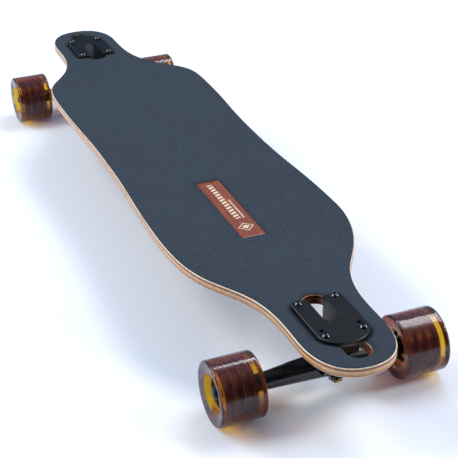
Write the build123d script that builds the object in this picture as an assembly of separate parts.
from build123d import *
import math
import os

os.makedirs("parts", exist_ok=True)

# A drop-through longboard: a laminated deck whose two trucks hang through cut-outs in its ends.
# X runs along the board with the nose at +X, Y runs across it to the left, Z is up.
# The origin is on the floor under the middle of the board. Everything is in millimetres.

# Deck outline
deck_length = 1035.0
deck_width = 220.0          # at the shoulders, its widest
waist_width = 208.0         # across the middle
neck_width = 96.0           # across the two truck pads
shoulder_x = 215.0          # from the middle to the widest point
shoulder_handle = 0.57      # how long the S curve holds the shoulder, as a share of its run
neck_handle = 0.55          # how long the S curve holds the neck
tip_radius_share = 0.64     # fullness of the rounded tips
# Deck section
deck_thickness = 11.0
rocker = 3.5                # how far the middle of the deck lies below its ends
concave = 13.0              # how far a point at half the deck width rises over the centreline
bend_run = 125.0            # length over which the flat ends turn into the concave middle
flat_pad = 68.0             # flat deck inboard of each bolt pattern
bend_steps = 6              # sections lofted through each bend
# Grip tape and the inlaid veneer label
grip_thickness = 0.9
grip_inset = 1.2            # bare wood left round the edge and round the cut-outs
glue_line = 0.03
label_length = 150.0
label_width = 28.5
label_centre_x = 159.0
label_thickness = 0.6
label_gap = 0.3
label_corner = 1.0
# Drop-through cut-out, from the bolt pattern's centre
cutout_half_width = 13.0
cutout_inboard = 49.0
cutout_outboard = 73.0
# Bolt pattern and mounting bolts
tip_to_pattern = 89.5
pattern_length = 63.5
short_pattern_length = 53.98    # the second pattern shares the inboard pair of holes
pattern_width = 41.3
bolt_r = 2.4
bolt_hole_r = 2.75
bolt_length = 25.4
bolt_head_r = 4.8
bolt_head_height = 3.0
bolt_socket_flats = 3.2
bolt_socket_depth = 1.8
lock_nut_flats = 9.5
lock_nut_height = 5.5
lock_nut_collar_share = 0.3
lock_nut_collar_inset = 0.6
# Truck layout. The steering axis rises outboard at truck_angle and the kingpin is square to it.
truck_angle = 45.0
truck_height = 61.5         # axle centre to the face that sits on the deck
axle_inboard = 9.0          # axle centre to the bolt pattern's centre
ring_ahead = 19.1           # axle centre to ring centre, along the steering axis
ring_above = 7.8            # axle centre to ring centre, along the kingpin
pivot_to_ring = 38.0
# Baseplate
flange_thickness = 5.0
flange_half_width = 28.4
flange_inboard = 37.0
flange_arc_start = 31.0
flange_outboard = 51.0
flange_corner = 4.0
flange_edge = 0.6
slot_half_width = 9.5
slot_outboard = 11.0        # the round end of the slot
web_thickness = 3.0
seat_thickness = 6.0
seat_past_bushing = 1.6     # how far the kingpin seat reaches inboard of the bushing
seat_bevel_run = 8.0        # the bevel from the seat down to the pivot housing, along the steering axis
seat_bevel_drop = 7.5       # and along the kingpin
seat_pocket_inset = 1.4     # the open top's edge, outboard of the bushing's inboard side
housing_back = 8.0          # how far the body reaches behind the pivot's centre
housing_back_inset = 3.5
toe_reach = 4.0             # the body's lowest inboard corner, inboard of the flange
toe_drop = 56.0
heel_drop = 33.0
cup_wall = 2.5
housing_wall = 2.2
mouth_depth = 12.0
# Hanger
hanger_width = 181.0
hanger_end_r = 9.25
hanger_end_length = 20.5
hanger_end_chamfer = 1.0
arm_mid_y = 28.0
arm_mid_r = 12.0
arm_root_r = 13.0
arm_lift = 1.5
ring_wall = 2.6
ring_lip = 1.5
ring_half_thickness = 5.0
ring_hole_r = 7.5
gusset_half_thickness = 4.0
gusset_front = (9.0, 12.0)          # ahead of the ring's centre, and across
gusset_shoulder = (9.0, 40.0)       # these three ahead of the axle, and across
gusset_tip = (-2.0, 48.0)
gusset_heel = (-5.0, 20.0)
gusset_back = -7.0
pivot_ball_r = 6.2
pivot_neck_r = 5.5
pivot_root_r = 8.0
pivot_neck_end = 6.0        # from the ball's centre to where the neck begins to thicken
pivot_root_start = 14.0
# Kingpin, bushings and cup washers
kingpin_r = 4.75
kingpin_head_flats = 14.3
kingpin_head_height = 5.5
kingpin_nut_height = 8.5
kingpin_past_nut = 2.5
kingpin_point = 1.0
nut_collar_height = 2.0
nut_collar_inset = 0.8
bushing_edge = 0.8
roadside_bushing_foot = 2.0 # straight part next to the ring
bushing_r = 12.4
boardside_bushing_height = 13.5
roadside_bushing_height = 12.5
roadside_bushing_end_r = 10.0
roadside_washer_play = 0.25
washer_thickness = 1.5
washer_lip = 1.2
# Axle, bearings and axle nuts
axle_r = 4.0
axle_point = 0.8
axle_past_nut = 1.5
speed_washer_r = 6.0
speed_washer_thickness = 0.8
bearing_width = 7.0
bearing_outer_r = 11.0
outer_race_bore_r = 9.5
inner_race_r = 6.0
ball_r = 1.9
ball_pitch_r = 7.75
ball_count = 7
shield_thickness = 0.5
shield_inset = 0.3
spacer_length = 10.0
spacer_r = 5.6
axle_nut_flats = 12.7
axle_nut_height = 7.5
# Wheels
wheel_diameter = 70.0
wheel_width = 50.0
lip_bevel_width = 2.5
lip_flat = 2.0
side_lean = 2.2             # how far the side face leans in from the lip to the recess
recess_r = 21.0
core_half_width = 17.0
core_ring_r = 18.5
core_ring_wall = 1.8
core_rib_height = 1.5
core_rib_width = 2.5
core_hub_r = 14.0
core_hub_lip = 1.0
core_web_half_width = 4.0
core_spokes = 8
core_spoke_thickness = 2.2
# Fits
running_gap = 0.05          # radial, on shafts and in races
slip_gap = 0.15             # radial, on bolts through bushings and washers
bond_gap = 0.02             # between parts that are pressed or moulded together
seat_gap = 0.5              # round the bushings in the hanger ring
washer_swing = 2.6          # more room round the roadside washer, for the hanger's steering angle

# Worked-out places
axle_z = wheel_diameter / 2
pattern_x = deck_length / 2 - tip_to_pattern
axle_x = pattern_x - axle_inboard
pad_z = axle_z + truck_height
neck_x = pattern_x
tip_start_x = neck_x + cutout_outboard / 3
bend_end_x = pattern_x - flat_pad
bend_start_x = bend_end_x - bend_run
block_half_width = deck_width / 2 + 15
bearing_inner_y = hanger_width / 2 + speed_washer_thickness
wheel_y = bearing_inner_y + bearing_width + spacer_length / 2
web_half_width = slot_half_width + web_thickness
cos_a = math.cos(math.radians(truck_angle))
sin_a = math.sin(math.radians(truck_angle))
ring_u = ring_ahead * cos_a - ring_above * sin_a
ring_w = ring_ahead * sin_a + ring_above * cos_a
seat_k = ring_half_thickness + boardside_bushing_height + washer_thickness
pivot_s = -pivot_to_ring
cup_r = pivot_ball_r + running_gap + cup_wall
housing_r = cup_r + bond_gap + housing_wall
housing_face_s = pivot_s + 2


def disc(radius, low, high):
    return Pos(0, 0, low) * Cylinder(radius, high - low, align=(Align.CENTER, Align.CENTER, Align.MIN))


def ring(outer, inner, low, high):
    return disc(outer, low, high) - disc(inner, low - 1, high + 1)


def turned(points):
    """A closed profile of (radius, height) points revolved round Z."""
    return revolve(make_face(Plane.XZ * Polyline(*points, close=True)), Axis.Z, 360)


def hexagon(flats, low, high):
    return Pos(0, 0, low) * extrude(RegularPolygon(flats / 2, 6, major_radius=False), high - low)


def group(shapes):
    return Compound(children=[solid for shape in shapes for solid in shape.solids()])


# ---------------------------------------------------------------- deck

def smooth(x):
    """0 on the flat ends, 1 in the concave middle, with an S curve between."""
    share = min(max((bend_end_x - abs(x)) / bend_run, 0), 1)
    return share * share * (3 - 2 * share)


def surface_edge(x, offset):
    """The line across the deck at x, offset above its top: a parabola, straight on the pads."""
    middle = pad_z - rocker * smooth(x) + offset
    rise = concave * smooth(x) * (block_half_width / (deck_width / 2)) ** 2
    side = middle + rise
    return Bezier((x, -block_half_width, side), (x, 0, middle - rise), (x, block_half_width, side))


def surface_section(x, low, high):
    """The face across the deck at x between two heights above its top."""
    top = surface_edge(x, high)
    bottom = surface_edge(x, low)
    return make_face([top, Line(top @ 1, bottom @ 1), bottom, Line(bottom @ 0, top @ 0)])


def surface_layer(low, high):
    """A layer that follows the deck's top surface from tip to tip."""
    front_x = [bend_start_x + bend_run * i / bend_steps for i in range(bend_steps + 1)]
    middle = loft([surface_section(-bend_start_x, low, high), surface_section(bend_start_x, low, high)])
    front = loft([surface_section(x, low, high) for x in front_x])
    rear = loft([surface_section(-x, low, high) for x in front_x])
    end_length = deck_length / 2 + 10 - bend_end_x
    ends = [
        Pos(side * (bend_end_x + end_length / 2), 0, pad_z + (low + high) / 2)
        * Box(end_length, 2 * block_half_width, high - low)
        for side in (1, -1)
    ]
    return middle + front + rear + ends[0] + ends[1]


def outline_edges(inset):
    """One quarter of the outline: waist, shoulder, S curve, neck and tip."""
    waist, shoulder, neck = waist_width / 2 - inset, deck_width / 2 - inset, neck_width / 2 - inset
    run = neck_x - shoulder_x
    tip_x = deck_length / 2 - inset
    tip_run = tip_x - tip_start_x
    return [
        Bezier((0, waist), (shoulder_x / 2, waist), (shoulder_x / 2, shoulder), (shoulder_x, shoulder)),
        Bezier(
            (shoulder_x, shoulder),
            (shoulder_x + shoulder_handle * run, shoulder),
            (neck_x - neck_handle * run, neck),
            (neck_x, neck),
        ),
        Line((neck_x, neck), (tip_start_x, neck)),
        Bezier(
            (tip_start_x, neck),
            (tip_start_x + tip_radius_share * tip_run, neck),
            (tip_x, tip_radius_share * neck),
            (tip_x, 0),
        ),
    ]


def outline(inset=0.0):
    quarter = Curve() + outline_edges(inset)
    half = quarter + mirror(quarter, Plane.YZ)
    return make_face(half + mirror(half, Plane.XZ))


def stadium(half_width, inboard, outboard):
    """A slot with full round ends, along X, round the bolt pattern's centre at the nose."""
    length = inboard + outboard
    return Pos(pattern_x + (outboard - inboard) / 2, 0) * SlotOverall(length, 2 * half_width)


def pattern_points(length_out):
    """The four holes at (from the pattern's centre outboard, across)."""
    half = pattern_length / 2
    return [(u, v * pattern_width / 2) for u in (-half, length_out) for v in (1, -1)]


def both_ends(shape):
    return shape + Rot(0, 0, 180) * shape


def prism(sketch):
    return Pos(0, 0, pad_z - 100) * extrude(sketch, 200)


def make_deck():
    deck = surface_layer(-deck_thickness, 0) & prism(outline())
    cutout = prism(stadium(cutout_half_width, cutout_inboard, cutout_outboard))
    holes = [Pos(pattern_x + u, v, pad_z - 50) * disc(bolt_hole_r, 0, 100)
             for u, v in pattern_points(pattern_length / 2)]
    return deck - both_ends(cutout) - [both_ends(hole) for hole in holes]


def make_grip():
    grip = surface_layer(glue_line, glue_line + grip_thickness) & prism(outline(grip_inset))
    cutout = stadium(cutout_half_width + grip_inset, cutout_inboard + grip_inset,
                     cutout_outboard + grip_inset)
    pad = Pos(pattern_x, 0) * flange_sketch(slip_gap)
    window = Pos(label_centre_x, 0) * RectangleRounded(
        label_length + 2 * label_gap, label_width + 2 * label_gap, label_corner)
    return grip - both_ends(prism(cutout)) - both_ends(prism(pad)) - prism(window)


def make_label():
    blank = Pos(label_centre_x, 0) * RectangleRounded(label_length, label_width, label_corner)
    return surface_layer(glue_line, glue_line + label_thickness) & prism(blank)


# ---------------------------------------------------------------- trucks
# A truck is drawn with the axle's centre at the origin, outboard along X and up along Z.
# Along the steering axis a place is s and along the kingpin it is k, both from the ring's centre.

def at(s, k):
    return (ring_u + s * cos_a - k * sin_a, ring_w + s * sin_a + k * cos_a)


ring_centre = (ring_u, 0, ring_w)
kingpin_frame = Location(Plane(origin=ring_centre, x_dir=(cos_a, 0, sin_a), z_dir=(-sin_a, 0, cos_a)))
steering_frame = Location(Plane(origin=ring_centre, x_dir=(0, 1, 0), z_dir=(cos_a, 0, sin_a)))
across_frame = Location(Plane(origin=(0, 0, 0), x_dir=(1, 0, 0), z_dir=(0, 1, 0)))


def side_plate(points, half_width):
    """A closed (outboard, up) outline thickened evenly to both sides of the centreline."""
    return extrude(make_face(Plane.XZ * Polyline(*points, close=True)), half_width, both=True)


def flange_sketch(margin=0.0):
    """The baseplate seen from above, from the bolt pattern's centre."""
    half = flange_half_width + margin
    inboard, outboard = flange_inboard + margin, flange_outboard + margin
    sides = Polyline((flange_arc_start, half), (-inboard, half), (-inboard, -half), (flange_arc_start, -half))
    arc = ThreePointArc((flange_arc_start, -half), (outboard, 0), (flange_arc_start, half))
    face = make_face(Curve() + [sides, arc])
    inboard_corners = face.vertices().sort_by(Axis.X)[:2]
    return fillet(inboard_corners, flange_corner)


def make_baseplate():
    flange_u = axle_inboard - flange_inboard
    flange = Pos(axle_inboard, 0, truck_height) * extrude(flange_sketch(), flange_thickness)
    flange = chamfer(flange.faces().sort_by(Axis.Z)[-1].edges(), flange_edge)
    slanted_end = (truck_height - ring_w - seat_k * cos_a) / sin_a
    seat_end_s = -bushing_r - seat_past_bushing
    body = side_plate([
        at(seat_end_s, seat_k),
        at(seat_end_s - seat_bevel_run, seat_k - seat_bevel_drop),
        at(housing_face_s, housing_r),
        at(pivot_s, 0),
        at(pivot_s - housing_back, housing_r - housing_back_inset),
        (flange_u - toe_reach, truck_height - toe_drop),
        (flange_u, truck_height - heel_drop),
        (flange_u, truck_height),
        at(slanted_end, seat_k),
    ], web_half_width)
    body += steering_frame * Pos(0, 0, pivot_s) * Sphere(housing_r)
    mouth = steering_frame * disc(housing_r - running_gap, housing_face_s, housing_face_s + mouth_depth)
    bore = steering_frame * (Pos(0, 0, pivot_s) * Sphere(cup_r + bond_gap)
                             + disc(cup_r + bond_gap, pivot_s, housing_face_s + 1))
    plate_top = seat_k + seat_thickness
    slot_u = axle_inboard + slot_outboard
    top_w = truck_height + flange_thickness + 1
    pocket_s = -bushing_r + seat_pocket_inset
    open_end_u = flange_u - 2 * toe_reach
    pocket = side_plate([
        at((top_w - ring_w - plate_top * cos_a) / sin_a, plate_top),
        at(pocket_s, plate_top),
        (open_end_u, at(pocket_s, plate_top)[1]),
        (open_end_u, top_w),
    ], slot_half_width)
    slot_length = slot_u - open_end_u + slot_half_width
    pocket &= Pos(slot_u - slot_length / 2, 0, 0) * extrude(
        SlotOverall(slot_length, 2 * slot_half_width), top_w) \
        + Pos(open_end_u, 0, top_w / 2) * Box(2 * slot_half_width, 2 * slot_half_width, top_w)
    plate = flange + body - mouth - bore - pocket
    plate -= kingpin_frame * disc(kingpin_r + slip_gap, seat_k - 1, plate_top + 1)
    for length_out in (pattern_length / 2, short_pattern_length - pattern_length / 2):
        for u, v in pattern_points(length_out):
            plate -= Pos(axle_inboard + u, v, truck_height - 1) * disc(bolt_hole_r, 0, flange_thickness + 2)
    return plate


def make_pivot_cup():
    closed_end = Pos(0, 0, pivot_s) * Sphere(cup_r) & disc(cup_r + 1, pivot_s - cup_r - 1, pivot_s)
    shell = closed_end + disc(cup_r, pivot_s, housing_face_s + 0.5)
    room = pivot_ball_r + running_gap
    return steering_frame * (shell - Pos(0, 0, pivot_s) * Sphere(room)
                             - disc(room, pivot_s, housing_face_s + 2))


def make_boardside_bushing():
    height = boardside_bushing_height
    barrel = [(kingpin_r + slip_gap, 0), (bushing_r - bushing_edge, 0), (bushing_r, bushing_edge),
              (bushing_r, height - bushing_edge), (bushing_r - bushing_edge, height),
              (kingpin_r + slip_gap, height)]
    return kingpin_frame * Pos(0, 0, ring_half_thickness) * turned(barrel)


def make_roadside_bushing():
    end = -roadside_bushing_height
    cone = [(kingpin_r + slip_gap, 0), (bushing_r, 0), (bushing_r, -roadside_bushing_foot),
            (roadside_bushing_end_r, end), (kingpin_r + slip_gap, end)]
    return kingpin_frame * Pos(0, 0, -ring_half_thickness) * turned(cone)


def cup_washer(bushing_end_r, lip):
    """A flat washer at z = 0 upwards with a low lip that holds the bushing's end below it."""
    hole = kingpin_r + slip_gap
    inside = bushing_end_r + slip_gap
    outside = inside + washer_thickness
    return turned([(hole, 0), (inside, 0), (inside, -lip), (outside, -lip), (outside, washer_thickness),
                   (hole, washer_thickness)])


def make_boardside_washer():
    return kingpin_frame * Pos(0, 0, seat_k - washer_thickness) * cup_washer(bushing_r, washer_lip)


roadside_washer_k = -ring_half_thickness - roadside_bushing_height
kingpin_nut_k = roadside_washer_k - washer_thickness


def make_roadside_washer():
    washer = Rot(180, 0, 0) * cup_washer(roadside_bushing_end_r + roadside_washer_play, washer_lip)
    return kingpin_frame * Pos(0, 0, roadside_washer_k) * washer


def make_kingpin_nut():
    end_k = kingpin_nut_k - kingpin_nut_height
    nut = hexagon(kingpin_head_flats, end_k + nut_collar_height, kingpin_nut_k)
    collar = disc(kingpin_head_flats / 2 - nut_collar_inset, end_k, end_k + nut_collar_height)
    bore = disc(kingpin_r + bond_gap, end_k - 1, kingpin_nut_k + 1)
    return kingpin_frame * (nut + collar - bore)


def make_kingpin():
    head_k = seat_k + seat_thickness
    shank = disc(kingpin_r, kingpin_nut_k - kingpin_nut_height - kingpin_past_nut, head_k)
    shank = chamfer(shank.faces().sort_by(Axis.Z)[0].edges(), kingpin_point)
    return kingpin_frame * (shank + hexagon(kingpin_head_flats, head_k, head_k + kingpin_head_height))


def mounting_bolt():
    """A button-head socket bolt with its head's underside at the origin."""
    dome_r = (bolt_head_r ** 2 + bolt_head_height ** 2) / (2 * bolt_head_height)
    dome = Pos(0, 0, bolt_head_height - dome_r) * Sphere(dome_r) & disc(bolt_head_r + 1, 0, bolt_head_height)
    socket = hexagon(bolt_socket_flats, bolt_head_height - bolt_socket_depth, bolt_head_height + 1)
    return dome + disc(bolt_r, -bolt_length, 0) - socket


def lock_nut(flats, height, hole_r):
    """A lock nut hanging under the origin, its hexagon above and its round collar below."""
    collar = height * lock_nut_collar_share
    nut = hexagon(flats, collar - height, 0)
    nut += disc(flats / 2 - lock_nut_collar_inset, -height, collar - height)
    return nut - disc(hole_r, -height - 1, 1)


def at_pattern(shape, height):
    return group([Pos(axle_inboard + u, v, height) * shape for u, v in pattern_points(pattern_length / 2)])


def make_mounting_bolts():
    return at_pattern(mounting_bolt(), truck_height + flange_thickness)


def make_mounting_nuts():
    return at_pattern(lock_nut(lock_nut_flats, lock_nut_height, bolt_r + bond_gap),
                      truck_height - deck_thickness)


def arm_section(y, radius, lift):
    return Location((0, y, lift), (90, 0, 0)) * Circle(radius)


def make_hanger():
    end_y = hanger_width / 2
    stub_y = end_y - hanger_end_length
    half_arm = loft([arm_section(0, arm_root_r, arm_lift), arm_section(arm_mid_y, arm_mid_r, arm_lift),
                     arm_section(stub_y, hanger_end_r, 0)])
    stub = across_frame * disc(hanger_end_r, stub_y, end_y)
    stub = chamfer(stub.faces().sort_by(Axis.Y)[-1].edges(), hanger_end_chamfer)
    half_arm += stub
    arms = half_arm + mirror(half_arm, Plane.XZ)
    seat_r = bushing_r + seat_gap
    boss = kingpin_frame * disc(seat_r + ring_wall, -ring_half_thickness - ring_lip,
                                ring_half_thickness + ring_lip)
    axle_s = -ring_ahead
    gusset_outline = [gusset_front] + [(axle_s + s, y) for s, y in (gusset_shoulder, gusset_tip, gusset_heel)]
    gusset_outline += [(axle_s + gusset_back, 0)] + [(s, -y) for s, y in reversed(gusset_outline)]
    gusset = kingpin_frame * extrude(make_face(Polyline(*gusset_outline, close=True)),
                                     gusset_half_thickness, both=True)
    root_end_s = axle_s + pivot_root_r
    neck = steering_frame * turned([
        (0, pivot_s), (pivot_neck_r, pivot_s), (pivot_neck_r, pivot_s + pivot_neck_end),
        (pivot_root_r, pivot_s + pivot_root_start), (pivot_root_r, root_end_s), (0, root_end_s)])
    ball = steering_frame * Pos(0, 0, pivot_s) * Sphere(pivot_ball_r)
    hanger = arms + boss + gusset + neck + ball
    for low, high in ((ring_half_thickness, seat_k), (-seat_k, -ring_half_thickness)):
        hanger -= kingpin_frame * disc(seat_r, low, high)
    swing_k = -ring_half_thickness - roadside_bushing_height / 2
    hanger -= kingpin_frame * disc(seat_r + washer_swing, -seat_k, swing_k)
    hanger -= kingpin_frame * disc(ring_hole_r, -ring_half_thickness - 1, ring_half_thickness + 1)
    return hanger - across_frame * disc(axle_r + bond_gap, -end_y - 1, end_y + 1)


axle_nut_y = bearing_inner_y + 2 * bearing_width + spacer_length + speed_washer_thickness
axle_end_y = axle_nut_y + axle_nut_height + axle_past_nut


def make_axle():
    axle = across_frame * disc(axle_r, -axle_end_y, axle_end_y)
    ends = axle.faces().sort_by(Axis.Y)
    return chamfer(ends[0].edges() + ends[-1].edges(), axle_point)


def on_both_sides(shapes):
    """Shapes drawn along Z from the axle's centre, laid along both arms of the axle."""
    placed = [across_frame * shape for shape in shapes]
    return group(placed + [mirror(shape, Plane.XZ) for shape in placed])


def make_speed_washers():
    near = bearing_inner_y - speed_washer_thickness
    far = axle_nut_y - speed_washer_thickness
    return on_both_sides([ring(speed_washer_r, axle_r + running_gap, y, y + speed_washer_thickness)
                          for y in (near, far)])


def race_groove(y):
    """The channel that the balls run in, round a bearing whose inner face is at y."""
    return Pos(0, 0, y + bearing_width / 2) * Torus(ball_pitch_r, ball_r + running_gap)


bearing_starts = [bearing_inner_y, bearing_inner_y + bearing_width + spacer_length]


def make_inner_races():
    return on_both_sides([ring(inner_race_r, axle_r + running_gap, y, y + bearing_width) - race_groove(y)
                          for y in bearing_starts])


def make_spacers():
    start = bearing_inner_y + bearing_width
    return on_both_sides([ring(spacer_r, axle_r + slip_gap, start, start + spacer_length)])


def make_axle_nuts():
    nut = Pos(0, 0, axle_nut_y) * Rot(180, 0, 0) * lock_nut(axle_nut_flats, axle_nut_height, axle_r + bond_gap)
    return on_both_sides([nut])


# ---------------------------------------------------------------- wheels
# A wheel is drawn at its own centre with its axle along Z, then laid along Y.

bearing_centres = [side * (spacer_length + bearing_width) / 2 for side in (-1, 1)]


def make_core():
    inner_ring_r = core_ring_r - core_ring_wall
    hub_end = spacer_length / 2 + bearing_width + core_hub_lip
    core = ring(core_ring_r, inner_ring_r, -core_half_width, core_half_width)
    core += ring(core_hub_r, outer_race_bore_r, -hub_end, hub_end)
    core += ring(inner_ring_r + 0.5, core_hub_r - 0.5, -core_web_half_width, core_web_half_width)
    rib_y = core_half_width - core_rib_width / 2
    for y in (-rib_y, -rib_y / 3, rib_y / 3, rib_y):
        core += ring(core_ring_r + core_rib_height, core_ring_r - 0.5, y - core_rib_width / 2,
                     y + core_rib_width / 2)
    spoke_run = inner_ring_r - core_hub_r + 1
    spoke = Pos((inner_ring_r + core_hub_r) / 2, 0) * Box(spoke_run, core_spoke_thickness, 2 * hub_end - 2)
    for i in range(core_spokes):
        core += Rot(0, 0, 360 * i / core_spokes) * spoke
    for y in bearing_centres:
        outward = math.copysign(1, y)
        seat_low, seat_high = sorted((y - outward * bearing_width / 2, y + outward * 3 * bearing_width))
        core -= disc(bearing_outer_r + bond_gap, seat_low, seat_high)
    return core


def make_tyre():
    radius, half = wheel_diameter / 2, wheel_width / 2
    inside = core_ring_r + bond_gap
    right_half = [(inside, core_half_width), (recess_r, core_half_width + bond_gap),
                  (recess_r, half - side_lean), (radius - lip_bevel_width - lip_flat, half),
                  (radius - lip_bevel_width, half), (radius, half - lip_bevel_width)]
    profile = right_half + [(r, -y) for r, y in reversed(right_half)]
    tyre = turned(profile)
    rib_y = core_half_width - core_rib_width / 2
    for y in (-rib_y, -rib_y / 3, rib_y / 3, rib_y):
        reach = core_rib_width / 2 + bond_gap
        tyre -= ring(core_ring_r + core_rib_height + bond_gap, inside - 0.5, y - reach, y + reach)
    return tyre


def make_outer_races():
    races = [ring(bearing_outer_r, outer_race_bore_r, y - bearing_width / 2, y + bearing_width / 2)
             - race_groove(y - bearing_width / 2) for y in bearing_centres]
    return group(races)


def make_shields():
    """Two snap-in shields to each bearing, clear of the inner race."""
    faces = []
    for y in bearing_centres:
        for side in (-1, 1):
            edge = y + side * (bearing_width / 2 - shield_inset)
            low, high = sorted((edge, edge - side * shield_thickness))
            faces.append(ring(outer_race_bore_r - bond_gap, inner_race_r + 2 * running_gap, low, high))
    return group(faces)


def make_balls():
    return group([Rot(0, 0, 360 * i / ball_count) * Pos(ball_pitch_r, 0, y) * Sphere(ball_r)
                  for y in bearing_centres for i in range(ball_count)])


# ---------------------------------------------------------------- assembly

truck_places = {
    "front": Location((axle_x, 0, axle_z)),
    "rear": Location((-axle_x, 0, axle_z), (0, 0, 180)),
}
truck_parts = {
    "baseplate": make_baseplate(),
    "pivot_cup": make_pivot_cup(),
    "kingpin": make_kingpin(),
    "kingpin_nut": make_kingpin_nut(),
    "boardside_washer": make_boardside_washer(),
    "boardside_bushing": make_boardside_bushing(),
    "roadside_bushing": make_roadside_bushing(),
    "roadside_washer": make_roadside_washer(),
    "mounting_bolts": make_mounting_bolts(),
    "mounting_nuts": make_mounting_nuts(),
    "hanger": make_hanger(),
    "axle": make_axle(),
    "speed_washers": make_speed_washers(),
    "bearing_inner_races": make_inner_races(),
    "bearing_spacers": make_spacers(),
    "axle_nuts": make_axle_nuts(),
}
wheel_parts = {
    "wheel_tyre": make_tyre(),
    "wheel_core": make_core(),
    "bearing_outer_races": make_outer_races(),
    "bearing_balls": make_balls(),
    "bearing_shields": make_shields(),
}

pieces = {"deck": make_deck(), "grip_tape": make_grip(), "label_inlay": make_label()}
for end, place in truck_places.items():
    for name, shape in truck_parts.items():
        pieces[f"{end}_{name}"] = place * shape
    for side, y in (("left", wheel_y), ("right", -wheel_y)):
        end_x = axle_x if end == "front" else -axle_x
        wheel_place = Location((end_x, y, axle_z), (-90 if side == "left" else 90, 0, 0))
        for name, shape in wheel_parts.items():
            pieces[f"{end}_{side}_{name}"] = wheel_place * shape

for name, shape in pieces.items():
    export_step(shape, f"parts/{name}.step")
